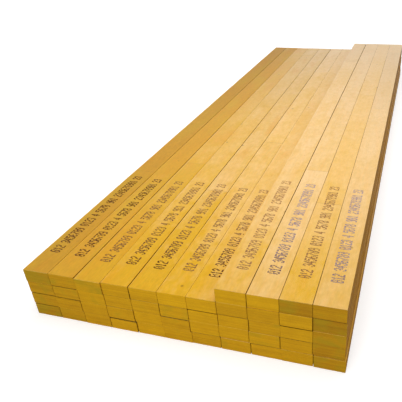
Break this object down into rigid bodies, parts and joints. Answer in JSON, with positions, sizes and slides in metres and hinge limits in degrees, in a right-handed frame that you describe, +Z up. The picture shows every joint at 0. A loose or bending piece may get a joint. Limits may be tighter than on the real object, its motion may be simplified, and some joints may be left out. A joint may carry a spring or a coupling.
{
  "type": "stack of laminated veneer lumber boards",
  "caption": "Neat stack of yellow-coated laminated veneer lumber boards lying flat in layers, with a part layer on top along one side.",
  "frame": {"origin": "on the floor, at the middle of the stack's width and length", "axes": "+Z up, the boards run along Y with the pictured front ends at -Y, X across the stack from left to right with the part layer at +X"},
  "size_m": [1.0074, 3.007, 0.225],
  "materials": {
    "coated_veneer": "peeled pine veneer under a thin translucent yellow coat, satin"
  },
  "bodies": {
    "root": {"layer_1_board_01": "coated_veneer", "layer_1_board_02": "coated_veneer", "layer_1_board_03": "coated_veneer", "layer_1_board_04": "coated_veneer", "layer_1_board_05": "coated_veneer", "layer_1_board_06": "coated_veneer", "layer_1_board_07": "coated_veneer", "layer_1_board_08": "coated_veneer", "layer_1_board_09": "coated_veneer", "layer_1_board_10": "coated_veneer", "layer_1_board_11": "coated_veneer", "layer_2_board_01": "coated_veneer", "layer_2_board_02": "coated_veneer", "layer_2_board_03": "coated_veneer", "layer_2_board_04": "coated_veneer", "layer_2_board_05": "coated_veneer", "layer_2_board_06": "coated_veneer", "layer_2_board_07": "coated_veneer", "layer_2_board_08": "coated_veneer", "layer_2_board_09": "coated_veneer", "layer_2_board_10": "coated_veneer", "layer_2_board_11": "coated_veneer", "layer_3_board_01": "coated_veneer", "layer_3_board_02": "coated_veneer", "layer_3_board_03": "coated_veneer", "layer_3_board_04": "coated_veneer", "layer_3_board_05": "coated_veneer", "layer_3_board_06": "coated_veneer", "layer_3_board_07": "coated_veneer", "layer_3_board_08": "coated_veneer", "layer_3_board_09": "coated_veneer", "layer_3_board_10": "coated_veneer", "layer_3_board_11": "coated_veneer", "layer_4_board_01": "coated_veneer", "layer_4_board_02": "coated_veneer", "layer_4_board_03": "coated_veneer", "layer_4_board_04": "coated_veneer", "layer_4_board_05": "coated_veneer", "layer_4_board_06": "coated_veneer", "layer_4_board_07": "coated_veneer", "layer_4_board_08": "coated_veneer", "layer_4_board_09": "coated_veneer", "layer_4_board_10": "coated_veneer", "layer_4_board_11": "coated_veneer", "layer_5_board_08": "coated_veneer", "layer_5_board_09": "coated_veneer", "layer_5_board_10": "coated_veneer", "layer_5_board_11": "coated_veneer"}
  },
  "joints": []
}
